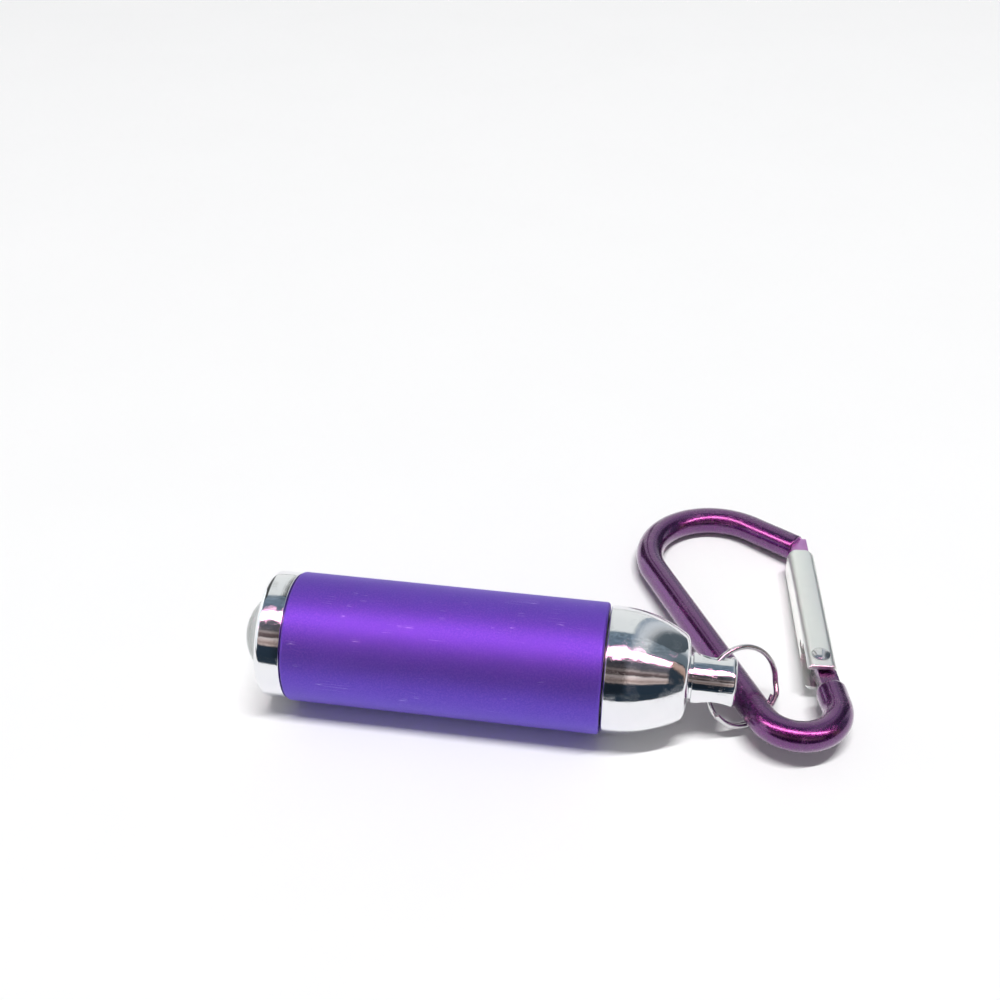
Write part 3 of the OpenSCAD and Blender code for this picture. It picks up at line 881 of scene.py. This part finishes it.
# Light of the end walls by depth: (y, colour)
LEFT_WALL = [(-430, (0.9, 0.93, 0.95)), (430, (1.3, 1.35, 1.4))]
RIGHT_WALL = [(-430, (0.02, 0.034, 0.052)), (-170, (0.03, 0.045, 0.06)), (-150, (0.42, 0.28, 0.22)),
              (-70, (0.52, 0.38, 0.33)), (-50, (0.05, 0.05, 0.06)), (-20, (0.13, 0.17, 0.20)),
              (160, (0.16, 0.20, 0.23)), (300, (0.62, 0.66, 0.68)), (430, (0.8, 0.82, 0.82))]
WALL_AT = 520


def floor():
    bm = bmesh.new()
    bmesh.ops.create_grid(bm, x_segments=1, y_segments=1, size=FLOOR_REACH)
    obj = make("floor", bm, Matrix.Identity(4))
    f = Finish("floor_paper", Roughness=0.9)
    f.shader.inputs["Specular IOR Level"].default_value = 0.1
    f.colour(f.blend(f.noise(30.0, 3), (0.93, 0.93, 0.93), (0.955, 0.955, 0.955)))
    f.bump(f.noise(0.4, 2), 0.01)
    obj.data.materials.append(f.mat)


def only_reflected(obj):
    obj.visible_camera = False
    obj.visible_diffuse = False
    obj.visible_shadow = False
    obj.visible_transmission = False
    obj.visible_volume_scatter = False


def tent():
    """An arch about the X axis that only reflections see: its light goes by angle, front to back."""
    bm = bmesh.new()
    rows = []
    for k in range(TENT_STEPS + 1):
        a = math.radians(-2 + 184 * k / TENT_STEPS)
        y = TENT_AXIS[0] - TENT_R * math.cos(a)
        z = TENT_AXIS[1] + TENT_R * math.sin(a)
        rows.append([bm.verts.new((x, y, z)) for x in (-TENT_REACH, TENT_REACH)])
    for one, two in zip(rows, rows[1:]):
        bm.faces.new((one[0], one[1], two[1], two[0]))
    obj = make("reflection_tent", bm, Matrix.Identity(4))
    obj.data.materials.append(tent_light())
    only_reflected(obj)


def tent_light():
    f = Finish("tent_light")
    x, y, z = f.split()
    front = f.times(f.sum(y, -TENT_AXIS[0] * MM), -1.0)
    up = f.sum(z, -TENT_AXIS[1] * MM)
    angle = f.times(f.maths("ARCTAN2", up, front), 1 / math.pi)     # in half turns, like half_turns()
    x_share = across_tent(f, x)

    # In the ragged part the bands break up into patches, elsewhere they stay straight.
    ragged = f.times(f.above(angle, half_turns(RAGGED[0])), f.below(angle, half_turns(RAGGED[1])))
    wobble = f.times(f.sum(f.noise(WOBBLE_SIZE, 3, 0.5), -0.5), TENT_WOBBLE)
    tear = f.times(f.times(f.sum(f.noise(TEAR_SIZE, 4, 0.5), -0.5), TENT_TEAR), ragged)
    bands = f.ramp(f.sum(angle, f.sum(wobble, tear)),
                   *[(half_turns(degrees), dimmed(colour)) for degrees, colour in TENT_LIGHT])

    # Overhead, the dark patch gives way to plain light and then to slate from left to right.
    along = across_tent(f, f.sum(x, f.times(tear, 0.4)))
    right = f.times(f.above(along, tent_share(OVERHEAD[0][0])), f.above(angle, half_turns(OVERHEAD_FROM)))
    plain = f.ramp(along, *[(tent_share(at), dimmed(colour)) for at, colour in OVERHEAD])

    # A ramp holds no share above 1, so it holds half of it.
    share = 1.0
    for side, levels in ((f.above(angle, half_turns(BACK_FROM)), BACK_LIGHT),
                         (f.below(angle, half_turns(FRONT_TO)), FRONT_LIGHT)):
        half = f.ramp(x_share, *[(tent_share(at), level / 2) for at, level in levels])
        share = f.sum(share, f.times(side, f.sum(f.times(half, 2.0), -1.0)))
    patches = f.sum(1.0, f.times(f.times(f.sum(f.noise(PATCH_SIZE, 4, 0.5), -0.5), PATCH_DEPTH), ragged))
    f.glow(f.blend(right, bands, plain), f.times(f.times(share, patches), TENT_POWER))
    return f.mat


def half_turns(degrees):
    return degrees / 180


def dimmed(colour):
    """A ramp holds no colour above 1, so the tent's are divided by its power."""
    return tuple(c / TENT_POWER for c in colour)


def tent_share(x):
    """An x in mm, as a place from 0 to 1 across the tent."""
    return 0.5 + x / (2 * TENT_REACH)


def across_tent(f, x):
    """The same for a socket that gives x in metres."""
    return f.sum(f.times(x, 0.5 / (TENT_REACH * MM)), 0.5)


def end_wall(name, x, stops):
    """Closes the tent at one end, for what the rounded ends mirror."""
    low, reach = 0.5, WALL_REACH
    bm = bmesh.new()
    corners = [(x, -reach, low), (x, reach, low), (x, reach, reach), (x, -reach, reach)]
    bm.faces.new([bm.verts.new(c) for c in corners])
    obj = make(name, bm, Matrix.Identity(4))
    f = Finish(name + "_light")
    y = f.split()[1]
    depth = f.sum(f.times(y, 0.5 / (reach * MM)), 0.5)
    torn = f.sum(depth, f.times(f.sum(f.noise(70.0, 4), -0.5), 0.16))
    f.glow(f.ramp(torn, *[(0.5 + at / (2 * reach), colour) for at, colour in stops]))
    obj.data.materials.append(f.mat)
    only_reflected(obj)


def dark_table_edge():
    """The dark floor in front of the object, seen only in reflections, just above the white one."""
    reach, front, back, lift = TENT_REACH, -WALL_REACH, TABLE_EDGE, 0.3
    bm = bmesh.new()
    corners = [(-reach, front, lift), (reach, front, lift), (reach, back, lift), (-reach, back, lift)]
    bm.faces.new([bm.verts.new(c) for c in corners])
    obj = make("dark_table_edge", bm, Matrix.Identity(4))
    f = Finish("table_edge_paint", Roughness=1.0)
    f.shader.inputs["Specular IOR Level"].default_value = 0.0
    f.colour(f.blend(f.noise(20.0, 2), (0.016, 0.026, 0.040), (0.026, 0.040, 0.056)))
    obj.data.materials.append(f.mat)
    only_reflected(obj)


def lamp(name, towards, distance, size, irradiance):
    """A soft box in this direction from the object; size is in mm along and across the flashlight."""
    light = bpy.data.lights.new(name, "AREA")
    light.shape = "RECTANGLE"
    light.size, light.size_y = (s * MM for s in size)
    light.energy = irradiance * math.pi * (distance * MM) ** 2
    obj = bpy.data.objects.new(name, light)
    obj.location = Vector(towards).normalized() * distance * MM
    obj.rotation_euler = (-obj.location).to_track_quat("-Z", "Y").to_euler()
    obj.visible_glossy = False
    bpy.context.scene.collection.objects.link(obj)


def surroundings(colour, lighting, seen):
    """A plain world, brighter where the camera sees it straight or through the lens than as light."""
    world = bpy.data.worlds.new("studio")
    world.use_nodes = True
    tree = world.node_tree
    sky = tree.nodes["Background"]
    sky.inputs["Color"].default_value = (*colour, 1)
    ray = tree.nodes.new("ShaderNodeLightPath")
    in_view = tree.nodes.new("ShaderNodeMath")
    in_view.operation = "MAXIMUM"
    tree.links.new(ray.outputs["Is Camera Ray"], in_view.inputs[0])
    tree.links.new(ray.outputs["Is Transmission Ray"], in_view.inputs[1])
    level = tree.nodes.new("ShaderNodeMath")
    level.operation = "MULTIPLY_ADD"
    level.inputs[1].default_value = seen - lighting
    level.inputs[2].default_value = lighting
    tree.links.new(in_view.outputs[0], level.inputs[0])
    tree.links.new(level.outputs[0], sky.inputs["Strength"])
    bpy.context.scene.world = world


def camera(place, heading, lens, shift_x):
    """The camera fitted to the photo; place is in mm."""
    data = bpy.data.cameras.new("camera")
    data.sensor_width = 36
    data.lens = lens
    data.shift_x = shift_x
    data.clip_start = 0.01
    eye = bpy.data.objects.new("camera", data)
    eye.location = Vector(place) * MM
    eye.rotation_euler = Vector(heading).to_track_quat("-Z", "Y").to_euler()
    bpy.context.scene.collection.objects.link(eye)
    bpy.context.scene.camera = eye


floor()
tent()
end_wall("left_wall", -WALL_AT, LEFT_WALL)
end_wall("right_wall", WALL_AT, RIGHT_WALL)
dark_table_edge()
lamp("key", (0.08, -0.19, 0.97), 2000, (1100, 60), 2.75)
surroundings((0.96, 0.98, 1.0), 0.25, 1.0)
bpy.context.scene.view_settings.view_transform = "Standard"
camera((13.36, -139.01, 126.7), (-0.1206, 0.7894, -0.6018), 46.8, -0.006)
